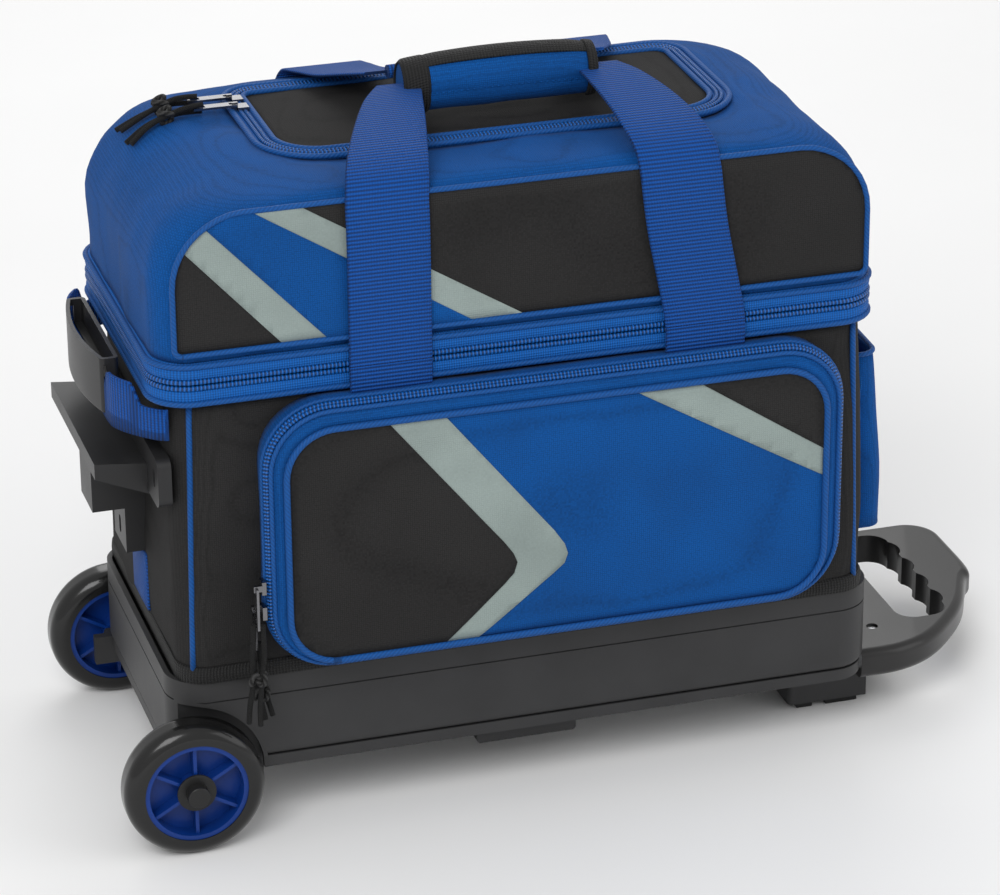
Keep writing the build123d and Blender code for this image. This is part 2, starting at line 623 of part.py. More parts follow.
def top_pull(index):
    """Flat tab that lies on the lid and points to the wheel end."""
    y = TOP_SLIDER_Y[index]
    x = TOP_X0 + TOP_ZIP_WIDTH / 2 - 5.4
    z = TOP_PULL_Z
    half = PULL_WIDTH / 2
    tab = block(x - PULL_LENGTH, x + 1.5, y - half, y + half, z - PULL_T / 2, z + PULL_T / 2)
    tab -= block(x - 4, x + 4, y - 1.7, y + 1.7, z - 3, z + 3)
    tab -= block(x - PULL_LENGTH + 2, x - PULL_LENGTH + 9, y - 2.2, y + 2.2, z - 3, z + 3)
    return tab + rod_y(x, z, 0.8, y - 1.8, y + 1.8)


def waist_slider():
    """Slider parked on the handle end of the waist zipper."""
    face = WAIST_X1 + GAP
    y = WAIST_SLIDER_Y
    slider = block(face, face + 3.2, y - 5, y + 5, WAIST_SPLIT - 4.6, WAIST_SPLIT + 4.6)
    bail = block(face + 3, WAIST_PULL_X + 2.2, y - 1.3, y + 1.3, WAIST_SPLIT - 1.4, WAIST_SPLIT + 3)
    return slider + bail - rod_y(WAIST_PULL_X, WAIST_SPLIT, 0.9, y - 2, y + 2)


def waist_pull():
    y, z, x = WAIST_SLIDER_Y, WAIST_SPLIT, WAIST_PULL_X
    half = PULL_WIDTH / 2
    tab = block(x - PULL_T / 2, x + PULL_T / 2, y - half, y + half, z - PULL_LENGTH, z + 1.5)
    tab -= block(x - 3, x + 3, y - 1.7, y + 1.7, z - 5, z + 4)
    tab -= block(x - 3, x + 3, y - 2.2, y + 2.2, z - PULL_LENGTH + 2, z - PULL_LENGTH + 9)
    return tab + rod_y(x, z, 0.8, y - 1.8, y + 1.8)


# ------------------------------------------------------------------ cords on the pulls
def corner_radii(points):
    """Arc radius at each inner point: 0.45 of the shorter run over tan of half the turn."""
    radii = []
    for before, here, after in zip(points[:-2], points[1:-1], points[2:]):
        come, go = Vector(*here) - Vector(*before), Vector(*after) - Vector(*here)
        half_turn = math.radians(come.get_angle(go)) / 2
        radii.append(0.45 * min(come.length, go.length) / math.tan(half_turn))
    return radii


def cord_tube(name):
    points = CORD_ROUTES[name]
    radii = corner_radii(points)
    path = FilletPolyline(*points, radius=radii)
    start = Plane(origin=path @ 0, z_dir=path % 0)
    tube = sweep(start * Circle(CORD_D / 2), path=path)
    expected = math.pi * CORD_D ** 2 / 4 * path.length
    print(name, "length", round(path.length, 1), "radii", [round(r) for r in radii],
          "volume ratio", round(tube.volume / expected, 4))
    return tube


# ------------------------------------------------------------------ write every piece
os.makedirs("parts", exist_ok=True)

PIECES = [
    base_tray, base_skirt, mid_feet, end_feet, foot_pads, axle_brackets, outer_rails, axle,
    wheel_washers, axle_caps, middle_tubes, inner_tubes, pull_grip, grip_screws, stiffener_board,
    ball_cups, ball_divider, lower_body, base_binding, front_pocket, pocket_panel, pocket_zipper,
    side_pocket, waist_zip_lower, waist_zip_upper, upper_shell, top_zipper, top_panel,
    front_strap, rear_strap, front_strap_folds, strap_anchors, handle_wrap, stand_bracket,
    bracket_screws, end_webbing, grab_webbing, grab_grip, waist_slider, waist_pull,
]
for piece in PIECES:
    save(piece(), piece.__name__)

for name, side in (("front", -1), ("rear", 1)):
    save(tyre(side), f"{name}_tyre")
    save(hub(side), f"{name}_hub")

for index, name in enumerate(("upper", "lower")):
    save(pocket_slider(index), f"pocket_slider_{name}")
    save(pocket_pull(index), f"pocket_pull_{name}")

for index, name in enumerate(("front", "rear")):
    save(top_slider(index), f"top_slider_{name}")
    save(top_pull(index), f"top_pull_{name}")

for name in CORD_ROUTES:
    save(cord_tube(name), name)
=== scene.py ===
import math

import bmesh
import bpy
from mathutils import Matrix, Vector, noise


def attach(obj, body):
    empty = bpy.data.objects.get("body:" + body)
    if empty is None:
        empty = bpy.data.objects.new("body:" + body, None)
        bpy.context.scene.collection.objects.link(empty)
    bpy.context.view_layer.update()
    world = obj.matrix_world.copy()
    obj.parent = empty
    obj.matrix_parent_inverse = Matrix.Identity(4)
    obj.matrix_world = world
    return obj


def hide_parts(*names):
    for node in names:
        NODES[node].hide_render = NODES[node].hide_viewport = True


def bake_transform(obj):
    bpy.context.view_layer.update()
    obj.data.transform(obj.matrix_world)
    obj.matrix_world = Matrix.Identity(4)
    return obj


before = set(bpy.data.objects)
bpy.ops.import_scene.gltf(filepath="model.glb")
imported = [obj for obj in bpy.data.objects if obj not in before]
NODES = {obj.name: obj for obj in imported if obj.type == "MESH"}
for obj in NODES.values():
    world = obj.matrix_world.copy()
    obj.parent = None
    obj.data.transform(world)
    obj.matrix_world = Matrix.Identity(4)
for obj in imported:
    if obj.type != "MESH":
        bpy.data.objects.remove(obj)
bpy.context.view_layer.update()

# Looks of the rolling bowling bag. Places are given in millimetres in the part's frame and
# turned into metres by mm(). -X is the wheel end, -Y is the front.

CORD_MM = 4.0

# ---- the same driving sizes as the part
BODY_X0, BODY_X1, BODY_Y = -310.0, 218.0, 125.0
BODY_Z0, BODY_Z1 = 128.0, 347.0
BINDING_Z1 = 141.0
WAIST_X0, WAIST_X1, WAIST_Y = -322.0, 221.0, 128.5
WAIST_SPLIT, WAIST_TOP = 365.0, 383.0
LID_X0, LID_X1, LID_Y, LID_TOP = -320.0, 218.0, 127.0, 496.0
LID_END_R, LID_CORNER, LID_EDGE_R = 65.0, 30.0, 14.0
TOP_X0, TOP_X1, TOP_Y0, TOP_Y1 = -216.0, 138.0, -58.0, 98.0
TOP_FRONT_R, TOP_REAR_R = 45.0, 22.0
POCKET_X0, POCKET_X1, POCKET_Z0, POCKET_Z1 = -250.0, 187.0, 142.0, 346.5
POCKET_R = 48.0
PANEL_X0, PANEL_X1, PANEL_Z0, PANEL_Z1, PANEL_R = -235.0, 172.0, 147.0, 329.0, 36.0
PANEL_Y = -152.0
LID_PANEL = (-307.0, 209.0, 388.0, 490.0)       # x0, x1, z0, z1 of the upper front panel
LID_PANEL_R = 52.0
STRAP_X = (-152.0, 84.0)
STRAP_Y, REAR_STRAP_Y = 133.2, 131.0
WRAP_X0, WRAP_X1, WRAP_Z0, WRAP_Z1, WRAP_HALF_DEPTH = -108.0, 36.0, 506.0, 547.0, 16.0
GRAB_Z0, GRAB_Z1 = 318.0, 358.0
GRIP_Z, FRONT_GRIP_Y, REAR_GRIP_Y = 530.0, -12.0, 13.0
STRAP_WIDTH = 61.0
BODY_CORNER, BODY_CORNER_GAIN = 22.0, 14.0      # plan radius at the foot, and what it gains by the top
SIDE_POCKET_Z0, SIDE_POCKET_Z1, SIDE_POCKET_HALF = 158.0, 300.0, 80.5

# points along the long sides, the short sides and each corner of every outline
SIDE_POINTS, CORNER_POINTS = (50, 25), 9
REAR_MIDDLE = SIDE_POINTS[0] + SIDE_POINTS[1] + SIDE_POINTS[0] // 2 + 2 * CORNER_POINTS

BLUE = (0.0015, 0.062, 0.245)
DEEP_BLUE = (0.002, 0.062, 0.290)
BLACK = (0.020, 0.0195, 0.0195)
GREY_GREEN = (0.27, 0.325, 0.31)


def mm(*values):
    return Vector(values) * 0.001


# ------------------------------------------------------------------ materials
class Shader:
    """A Principled material and the few node patterns that are repeated here."""

    def __init__(self, name, roughness, metallic=0.0, sheen=0.0, coat=0.0, specular=0.5):
        self.material = bpy.data.materials.new(name)
        self.material.use_nodes = True
        self.tree = self.material.node_tree
        self.shader = self.tree.nodes["Principled BSDF"]
        self.shader.inputs["Metallic"].default_value = metallic
        self.shader.inputs["Roughness"].default_value = roughness
        self.shader.inputs["Sheen Weight"].default_value = sheen
        self.shader.inputs["Sheen Roughness"].default_value = 0.5
        self.shader.inputs["Coat Weight"].default_value = coat
        self.shader.inputs["Specular IOR Level"].default_value = specular
        self.place = self.tree.nodes.new("ShaderNodeTexCoord")

    def node(self, kind, **inputs):
        made = self.tree.nodes.new(kind)
        for key, value in inputs.items():
            made.inputs[key.replace("_", " ")].default_value = value
        return made

    def link(self, source, target):
        self.tree.links.new(source, target)

    def noise(self, scale, detail=4.0, source="Object"):
        made = self.node("ShaderNodeTexNoise", Scale=scale, Detail=detail)
        self.link(self.place.outputs[source], made.inputs["Vector"])
        return made.outputs["Fac"]

    def threads(self, scale):
        """Square cells of nearly even size: an oxford weave on any face."""
        made = self.node("ShaderNodeTexVoronoi", Scale=scale, Randomness=0.22)
        made.distance = "CHEBYCHEV"
        self.link(self.place.outputs["Object"], made.inputs["Vector"])
        return made.outputs["Distance"]

    def ribs(self, pitch_mm, direction="X"):
        """Even ribs across a strip, along its own length."""
        made = self.node("ShaderNodeTexWave", Scale=math.pi / (10 * pitch_mm * 0.001))
        made.wave_type = "BANDS"
        made.bands_direction = direction
        self.link(self.place.outputs["UV"], made.inputs["Vector"])
        return made.outputs["Fac"]

    def ramp(self, source, low, high, start=0.0, end=1.0):
        made = self.tree.nodes.new("ShaderNodeValToRGB")
        made.color_ramp.elements[0].position = start
        made.color_ramp.elements[1].position = end
        made.color_ramp.elements[0].color = (*low, 1)
        made.color_ramp.elements[1].color = (*high, 1)
        self.link(source, made.inputs["Fac"])
        return made.outputs["Color"]

    def colour(self, source):
        self.link(source, self.shader.inputs["Base Color"])

    def multiply(self, one, two, share=1.0):
        made = self.tree.nodes.new("ShaderNodeMix")
        made.data_type = "RGBA"
        made.blend_type = "MULTIPLY"
        made.inputs["Factor"].default_value = share
        colours = [socket for socket in made.inputs if socket.type == "RGBA"]
        self.link(one, colours[0])
        self.link(two, colours[1])
        return next(socket for socket in made.outputs if socket.type == "RGBA")

    def roughness(self, source, low, high):
        made = self.node("ShaderNodeMapRange", To_Min=low, To_Max=high)
        self.link(source, made.inputs["Value"])
        self.link(made.outputs["Result"], self.shader.inputs["Roughness"])

    def bump(self, *layers):
        """Layers are (height, distance in mm), and each stands on the one before."""
        last = None
        for height, distance in layers:
            made = self.node("ShaderNodeBump", Strength=1.0, Distance=distance * 0.001)
            self.link(height, made.inputs["Height"])
            if last is not None:
                self.link(last, made.inputs["Normal"])
            last = made.outputs["Normal"]
        self.link(last, self.shader.inputs["Normal"])


def scaled(colour, factor):
    return tuple(min(1.0, c * factor) for c in colour)


def cloth(name, colour, thread_scale=640.0, contrast=0.5, sheen=0.02):
    """Oxford polyester: visible thread and slow creases, with the colour darker in the creases' hollows."""
    m = Shader(name, 0.8, sheen=sheen, specular=0.14)
    thread = m.threads(thread_scale)
    cloudy = m.noise(14.0)
    weave = m.ramp(thread, scaled(colour, 1 + contrast), scaled(colour, 1 - contrast), 0.1, 0.75)
    # the crease noise also scales the colour, down to 0.82 of it in the hollows of the creases
    m.colour(m.multiply(weave, m.ramp(cloudy, (0.82,) * 3, (1.0,) * 3, 0.3, 0.7)))
    m.roughness(cloudy, 0.72, 0.88)
    m.bump((cloudy, 1.6), (thread, 0.45))
    return m.material


def webbing(name, colour, pitch=2.9, depth=0.7, groove_shade=0.55):
    m = Shader(name, 0.62, sheen=0.03, specular=0.2)
    rib, fine = m.ribs(pitch), m.ribs(2.0, "Y")
    # painted shade in the rib grooves and painted highlight on the rib crests, following the bump's rib
    # height
    m.colour(m.multiply(m.ramp(rib, scaled(colour, groove_shade), scaled(colour, 1.35), 0.1, 0.7),
                        m.ramp(fine, (0.8,) * 3, (1.0,) * 3)))
    m.roughness(rib, 0.55, 0.75)
    m.bump((rib, depth), (fine, 0.3))
    return m.material


def piping(name, colour):
    """Covered cord: slanted fine ribs, with painted shade in their grooves and painted highlight on their
    crests.
    """
    m = Shader(name, 0.6, sheen=0.03, specular=0.25)
    rib, cloudy = m.ribs(1.7, "DIAGONAL"), m.noise(40.0)
    m.colour(m.multiply(m.ramp(rib, scaled(colour, 0.82), scaled(colour, 1.15)),
                        m.ramp(cloudy, (0.85,) * 3, (1.0,) * 3)))
    m.bump((rib, 0.2))
    return m.material


def zip_coil(name, colour):
    m = Shader(name, 0.40, specular=0.4)
    tooth = m.ribs(2.8)
    # painted highlight on the crest of each tooth and painted shade between the teeth
    m.colour(m.ramp(tooth, scaled(colour, 0.45), scaled(colour, 1.9), 0.2, 0.8))
    m.bump((tooth, 0.9))
    return m.material


def moulded(name, colour, roughness, grain=0.05, coat=0.0):
    """Plastic with a fine spark grain, faint mould flow and duller handling marks."""
    m = Shader(name, roughness, coat=coat, specular=0.3)
    fine, slow = m.noise(1800.0, 2.0), m.noise(22.0)
    m.colour(m.ramp(slow, scaled(colour, 0.88), scaled(colour, 1.12), 0.3, 0.7))
    m.roughness(slow, roughness - 0.06, roughness + 0.08)
    m.bump((fine, grain))
    return m.material


def metal(name, colour, roughness):
    m = Shader(name, roughness, metallic=1.0)
    brushed, slow = m.noise(900.0, 2.0), m.noise(60.0)
    m.colour(m.ramp(slow, scaled(colour, 0.8), scaled(colour, 1.15), 0.3, 0.7))
    m.roughness(slow, roughness - 0.05, roughness + 0.1)
    m.bump((brushed, 0.02))
    return m.material


def braid(name, colour):
    m = Shader(name, 0.75, sheen=0.03, specular=0.2)
    twist, cross = m.ribs(2.4, "DIAGONAL"), m.ribs(1.5)
    # painted highlight on the raised twist of the strands and painted shade in the grooves between them
    m.colour(m.ramp(twist, scaled(colour, 0.5), scaled(colour, 2.4)))
    m.bump((twist, 0.6), (cross, 0.3))
    return m.material


MAT = {
    "blue": cloth("blue_oxford", BLUE),
    "black": cloth("black_oxford", BLACK, contrast=0.6, sheen=0.0),
    "grey": cloth("grey_green_oxford", GREY_GREEN, contrast=0.14),
    "lining": cloth("lining", (0.03, 0.03, 0.033), 700.0, 0.3),
    "thread": cloth("thread", scaled(BLUE, 1.5), 900.0, 0.2),
    "webbing": webbing("blue_webbing", DEEP_BLUE),
    "binding": webbing("black_binding", (0.016, 0.016, 0.016), 2.4, 0.6),
    "piping": piping("blue_piping", scaled(BLUE, 1.15)),
    "tape": webbing("blue_zipper_tape", scaled(BLUE, 1.45), 1.8, 0.2, 0.8),
    "coil": zip_coil("blue_coil", BLUE),
    "base": moulded("base_plastic", (0.030, 0.030, 0.031), 0.46),
    "bracket": moulded("bracket_plastic", (0.020, 0.020, 0.021), 0.40),
    "grip": moulded("grip_plastic", (0.020, 0.0195, 0.0195), 0.30, 0.02, 0.1),
    "tyre": moulded("tyre_urethane", (0.008, 0.008, 0.008), 0.20, 0.01, 0.25),
    "hub": moulded("hub_plastic", (0.002, 0.030, 0.19), 0.34, 0.03),
    "washer": moulded("washer_plastic", (0.014, 0.014, 0.014), 0.30, 0.02),
    "rubber": moulded("pad_rubber", (0.012, 0.012, 0.012), 0.75, 0.12),
    "foam": moulded("cup_foam", (0.05, 0.05, 0.053), 0.9, 0.4),
    "board": moulded("stiffener", (0.06, 0.06, 0.06), 0.7, 0.1),
    "steel": metal("rail_steel", (0.55, 0.56, 0.58), 0.28),
    "gunmetal": metal("gunmetal", (0.20, 0.20, 0.21), 0.24),
    "cord": braid("black_braid", (0.018, 0.018, 0.018)),
}


# ------------------------------------------------------------------ mesh helpers
def new_mesh(name, vertices, faces, material, coords=None, smooth=True):
    """Mesh object with optional (along, across) coordinates per vertex, in metres."""
    mesh = bpy.data.meshes.new(name)
    mesh.from_pydata([tuple(v) for v in vertices], [], faces)
    mesh.materials.append(MAT[material])
    if coords:
        layer = mesh.uv_layers.new(name="strip")
        for loop in mesh.loops:
            layer.data[loop.index].uv = coords[loop.vertex_index]
    mesh.shade_smooth() if smooth else mesh.shade_flat()
    mesh.update()
    made = bpy.data.objects.new(name, mesh)
    bpy.context.scene.collection.objects.link(made)
    return made


def grid(name, rows, material, loop=False, tube=False, caps=False):
    """Skin through rows of points; loop joins first and last row, tube joins each row's ends."""
    count, vertices = len(rows[0]), [p for row in rows for p in row]
    coords, along = [], 0.0
    for i, row in enumerate(rows):
        if i:
            along += (row[0] - rows[i - 1][0]).length
        across = 0.0
        for j, point in enumerate(row):
            if j:
                across += (point - row[j - 1]).length
            coords.append((along, across))
    faces = []
    for i in range(len(rows) if loop else len(rows) - 1):
        for j in range(count if tube else count - 1):
            a, b = i * count, ((i + 1) % len(rows)) * count
            k = (j + 1) % count
            faces.append((a + j, a + k, b + k, b + j))
    if caps:
        faces.append(tuple(range(count))[::-1])
        faces.append(tuple(range(len(vertices) - count, len(vertices))))
    made = new_mesh(name, vertices, faces, material, coords)
    for face in made.data.polygons[-2:] if caps else ():
        face.use_smooth = False
    outwards(made)
    return made


def outwards(piece):
    edit = bmesh.new()
    edit.from_mesh(piece.data)
    bmesh.ops.recalc_face_normals(edit, faces=edit.faces)
    edit.to_mesh(piece.data)
    edit.free()


def thick(piece, millimetres, inward=True):
    """Gives a sheet its thickness, then bakes it into the mesh."""
    solid = piece.modifiers.new("thickness", "SOLIDIFY")
    solid.thickness = millimetres * 0.001
    solid.offset = -1.0 if inward else 1.0
    return bake(piece)


def bake(piece):
    depsgraph = bpy.context.evaluated_depsgraph_get()
    mesh = bpy.data.meshes.new_from_object(piece.evaluated_get(depsgraph))
    piece.modifiers.clear()
    piece.data = mesh
    return piece


def crease(point, size_mm, depth_mm):
    """A smooth, fixed unevenness for fabric."""
    return noise.noise(point * (1000.0 / size_mm)) * depth_mm * 0.001


def uneven(piece, size_mm, depth_mm):
    """Moves a skin along its normals by crease()."""
    mesh = piece.data
    mesh.update()
    normals = [v.normal.copy() for v in mesh.vertices]
    for vertex, normal in zip(mesh.vertices, normals):
        vertex.co += normal * crease(vertex.co, size_mm, depth_mm)
    mesh.update()
    return piece


def outline(x0, x1, y0, y1, radii):
    """Rounded rectangle as (x, y), going round from the low-x end of the low-y side.

    radii are for the corners at (x1, y0), (x1, y1), (x0, y1), (x0, y0). Every outline has the
    same number of points, so one can run into another."""
    r = [radii] * 4 if isinstance(radii, (int, float)) else list(radii)
    sides = [((x0 + r[3], y0), (x1 - r[0], y0)), ((x1, y0 + r[0]), (x1, y1 - r[1])),
             ((x1 - r[1], y1), (x0 + r[2], y1)), ((x0, y1 - r[2]), (x0, y0 + r[3]))]
    centres = [(x1 - r[0], y0 + r[0], -90), (x1 - r[1], y1 - r[1], 0),
               (x0 + r[2], y1 - r[2], 90), (x0 + r[3], y0 + r[3], 180)]
    points = []
    for (start, end), (cx, cy, angle), radius, count in zip(sides, centres, r, SIDE_POINTS * 2):
        for i in range(count):
            t = i / count
            points.append((start[0] + (end[0] - start[0]) * t, start[1] + (end[1] - start[1]) * t))
        for i in range(CORNER_POINTS):
            a = math.radians(angle + 90 * i / CORNER_POINTS)
            points.append((cx + radius * math.cos(a), cy + radius * math.sin(a)))
    return points


def tube(name, points, radius_mm, material, closed=False, sides=10, flatten=1.0):
    """Round cord through the points, in metres. flatten squeezes it towards its first normal."""
    rows, normal = [], None
    last = len(points) - 1
    for i, point in enumerate(points):
        before = points[i - 1] if i or closed else point
        after = points[(i + 1) % len(points)] if i < last or closed else point
        tangent = (after - before).normalized()
        if normal is None:
            normal = tangent.orthogonal().normalized()
        normal = (normal - tangent * normal.dot(tangent)).normalized()
        side = tangent.cross(normal)
        rows.append([point + radius_mm * 0.001 * (normal * math.cos(a) * flatten + side * math.sin(a))
                     for a in (2 * math.pi * k / sides for k in range(sides))])
    return grid(name, rows, material, loop=closed, tube=True, caps=not closed)


def ring_at(points, z):
    return [mm(x, y, z) for x, y in points]


def closed_ring(points, z):
    """A whole outline at one height, started in the middle of the rear so its join is there."""
    return ring_at(points[REAR_MIDDLE:] + points[:REAR_MIDDLE], z)


def upright(points, y):
    """An outline drawn in X and Z, at one depth."""
    return [mm(x, y, z) for x, z in points]


def stitches(name, points, material="thread", pitch=4.6, length=3.2, radius=0.5):
    """Row of raised stitches along the points, all in one mesh."""
    vertices, faces = [], []
    due = 0.0
    for start, end in zip(points, points[1:]):
        span = (end - start).length * 1000
        while due < span:
            middle, way = start.lerp(end, due / span), (end - start).normalized()
            side = way.orthogonal().normalized() * radius * 0.001
            up = way.cross(side).normalized() * radius * 0.001
            tip = way * length * 0.0005
            n = len(vertices)
            vertices += [middle - tip, middle + side, middle + up, middle - side, middle - up, middle + tip]
            for k in range(4):
                a, b = n + 1 + k, n + 1 + (k + 1) % 4
                faces += [(n, b, a), (n + 5, a, b)]
            due += pitch
        due -= span
    return new_mesh(name, vertices, faces, material)


def finish_piece(piece, body, slot, *nodes):
    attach(piece, body)
    if nodes:
        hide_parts(*nodes)
    return piece


# ------------------------------------------------------------------ camera, light and floor
def make_camera():
    azimuth, elevation, roll = math.radians(-16.8), math.radians(24.39), math.radians(-0.43)
    back = Vector((math.sin(azimuth) * math.cos(elevation), -math.cos(azimuth) * math.cos(elevation),
                   math.sin(elevation)))
    right = Vector((math.cos(azimuth), math.sin(azimuth), 0))
    up = back.cross(right)
    turned_right = right * math.cos(roll) + up * math.sin(roll)
    turned_up = up * math.cos(roll) - right * math.sin(roll)
    data = bpy.data.cameras.new("camera")
    data.lens, data.sensor_width = 151.05, 36.0
    data.clip_end = 50.0
    camera = bpy.data.objects.new("camera", data)
    bpy.context.scene.collection.objects.link(camera)
    camera.matrix_world = Matrix((turned_right, turned_up, back)).transposed().to_4x4()
    camera.location = mm(-867.9, -2769.7, 1537.5)
    bpy.context.scene.camera = camera


def make_light(name, place, target, size, watts):
    data = bpy.data.lights.new(name, "AREA")
    data.size, data.energy = size, watts
    lamp = bpy.data.objects.new(name, data)
    lamp.location = place
    lamp.rotation_mode = "QUATERNION"
    lamp.rotation_quaternion = (Vector(target) - Vector(place)).to_track_quat("-Z", "Y")
    bpy.context.scene.collection.objects.link(lamp)


def make_studio():
    size = 6.0
    floor = new_mesh("floor", [(-size, -size, 0), (size, -size, 0), (size, size, 0), (-size, size, 0)],
                     [(0, 1, 2, 3)], "grey")
    paper = Shader("paper", 0.9)
    paper.colour(paper.ramp(paper.noise(3.0), (0.86,) * 3, (0.9,) * 3))
    floor.data.materials[0] = paper.material
    world = bpy.data.worlds.new("studio")
    world.use_nodes = True
    world.node_tree.nodes["Background"].inputs["Color"].default_value = (1, 1, 1, 1)
    world.node_tree.nodes["Background"].inputs["Strength"].default_value = 0.66
    bpy.context.scene.world = world
    target = (0, 0, 0.25)
    make_light("key", (-1.4, -2.0, 2.4), target, 1.6, 46)
    make_light("fill", (2.2, -1.6, 1.4), target, 2.0, 15)
    make_light("back", (0.4, 2.2, 2.0), target, 1.8, 20)
    bpy.context.scene.view_settings.view_transform = "Standard"


make_camera()


# ------------------------------------------------------------------ cords on the zipper pulls
# name: (body, route in mm)
CORDS = {
    "pocket_cord_upper_front": ("pocket_pull_upper", [
        (-262.4, -150.6, 183), (-262.9, -151.2, 170), (-264.3, -151.4, 157), (-263.2, -150.2, 144),
        (-265.0, -151.8, 131), (-268.2, -153.4, 118), (-268.6, -153.2, 106)]),
    "pocket_cord_upper_back": ("pocket_pull_upper", [
        (-255.8, -152.2, 183), (-255.8, -152.8, 170), (-255.4, -153.4, 157), (-258.2, -152.6, 144),
        (-258.6, -153.4, 131), (-261.0, -155.2, 118), (-260.6, -155.4, 104)]),
    "pocket_cord_lower_front": ("pocket_pull_lower", [
        (-262.4, -140.6, 163), (-262.0, -141.4, 151), (-260.4, -142.8, 139), (-259.0, -141.8, 127),
        (-256.4, -143.4, 115), (-254.6, -145.2, 103)]),
    "pocket_cord_lower_back": ("pocket_pull_lower", [
        (-255.8, -139.4, 163), (-255.6, -138.6, 151), (-254.0, -138.0, 139), (-254.2, -138.4, 127),
        (-250.8, -139.2, 115), (-248.0, -140.8, 103)]),
    "top_cord_front_upper": ("top_pull_front", [
        (-240.2, 50.6, 506.8), (-253, 49.6, 506.0), (-266, 47.4, 503.0), (-278, 45.8, 498.8),
        (-288, 42.4, 493.4), (-297, 37.6, 487.0)]),
    "top_cord_front_lower": ("top_pull_front", [
        (-240.2, 55.2, 500.2), (-253, 56.0, 500.4), (-266, 53.4, 499.6), (-278, 51.6, 496.8),
        (-289, 49.4, 491.8), (-299, 45.8, 485.0)]),
    "top_cord_rear_upper": ("top_pull_rear", [
        (-240.2, 68.6, 506.8), (-252, 70.6, 507.0), (-264, 70.0, 504.0), (-276, 66.6, 500.0),
        (-288, 66.2, 493.6), (-298, 68.4, 486.4)]),
    "top_cord_rear_lower": ("top_pull_rear", [
        (-240.2, 73.2, 500.2), (-252, 76.2, 500.6), (-264, 75.8, 499.8), (-276, 72.4, 497.4),
        (-289, 72.8, 492.0), (-300, 76.0, 484.6)]),
}
KNOTS = {       # centre in mm and the way the strands run through it
    "pocket_pull_upper": ((-261.0, -152.2, 141), (0, 0, 1)),
    "pocket_pull_lower": ((-257.0, -140.8, 123), (0, 0, 1)),
    "top_pull_front": ((-268.0, 50.6, 501.6), (1, 0, 0.2)),
    "top_pull_rear": ((-267.0, 72.6, 502.4), (1, 0, 0.2)),
}


def make_knot(body):
    """Overhand knot of the same braid: a trefoil pulled tight round the strands."""
    centre, way = KNOTS[body]
    turn = Vector(way).to_track_quat("Z", "Y")
    points = []
    for i in range(60):
        a = 2 * math.pi * i / 60
        loop = Vector((math.sin(a) + 1.5 * math.sin(2 * a), math.cos(a) - 1.5 * math.cos(2 * a),
                       -1.8 * math.sin(3 * a)))
        points.append(mm(*centre) + turn @ (loop * 0.0024))
    knot = tube(f"{body}_knot", points, 1.9, "cord", closed=True)
    return finish_piece(knot, body, "black_cord")


def make_cords():
    knots = {body: make_knot(body) for body in KNOTS}
    named = set()
    for name, (body, route) in CORDS.items():
        data = bpy.data.curves.new(name + "_line", "CURVE")
        data.dimensions = "3D"
        data.bevel_depth = CORD_MM / 2000
        data.bevel_resolution = 4
        data.use_fill_caps = True
        spline = data.splines.new("NURBS")
        spline.points.add(len(route) - 1)
        for point, place in zip(spline.points, route):
            point.co = (*mm(*place), 1)
        spline.order_u = 3
        spline.use_endpoint_u = True
        spline.resolution_u = 12
        data.materials.append(MAT["cord"])
        cord = bpy.data.objects.new(name + "_line", data)
        bpy.context.scene.collection.objects.link(cord)
        finish_piece(cord, body, "black_cord", name)
        named.add(body)


make_cords()
make_studio()


# ------------------------------------------------------------------ lower compartment
def body_outline(t, out=0.0):
    """The fabric body's plan at a share t of its height; corners soften towards the top."""
    radius = BODY_CORNER + BODY_CORNER_GAIN * t
    return outline(BODY_X0 - out, BODY_X1 + out, -BODY_Y - out, BODY_Y + out, radius)


def corner_seam(wall, x_sign, y_sign, steps=12):
    """Line of the piping up one corner of the body, from the binding to the waist."""
    angle = math.radians(52)
    points = []
    for i in range(steps + 1):
        t = i / steps
        radius = BODY_CORNER + BODY_CORNER_GAIN * t
        x = wall - x_sign * radius * (1 - math.cos(angle))
        y = y_sign * (BODY_Y - radius * (1 - math.sin(angle)) + 1.0)
        points.append(mm(x, y, BINDING_Z1 - 2 + (BODY_Z1 - BINDING_Z1 + 3) * t))
    return points


def make_lower_body():
    rows = []
    steps = 26
    for i in range(steps + 1):
        t = i / steps
        z = BODY_Z0 + (BODY_Z1 - BODY_Z0) * t
        rows.append(closed_ring(body_outline(t, 1.6 * math.sin(math.pi * t)), z))
    body = uneven(grid("body_fabric", rows, "black", tube=True), 70, 2.6)
    uneven(body, 24, 0.7)
    for vertex in body.data.vertices:
        vertex.co.x = min(vertex.co.x, BODY_X1 * 0.001)     # the end pocket is sewn flat on this side
    thick(body, 2.6)
    finish_piece(body, "bag", "black_fabric", "lower_body")

    for side, y_sign in (("front", -1), ("rear", 1)):
        for end, (wall, x_sign) in enumerate(((BODY_X0, -1), (BODY_X1, 1))):
            cord = tube(f"body_piping_{side}_{end}", corner_seam(wall, x_sign, y_sign), 2.2, "piping")
            finish_piece(cord, "bag", "blue_fabric")


def make_binding():
    """Ribbed tape sewn over the joint between fabric and base, with a rolled top edge."""
    profile = [(0.4, BODY_Z0 + 0.2), (2.3, BODY_Z0 + 0.6), (2.6, 134), (2.2, 139.0),
               (1.2, BINDING_Z1), (0.0, BINDING_Z1 - 0.5)]
    rows = [closed_ring(body_outline(0.03, out), z) for out, z in profile]
    tape = grid("base_binding_tape", list(zip(*rows)), "binding", loop=True)
    finish_piece(tape, "bag", "black_binding", "base_binding")


# ------------------------------------------------------------------ waist zipper
def waist_outline(out):
    return outline(WAIST_X0 - out, WAIST_X1 + out, -WAIST_Y - out, WAIST_Y + out, 30.0 + out)


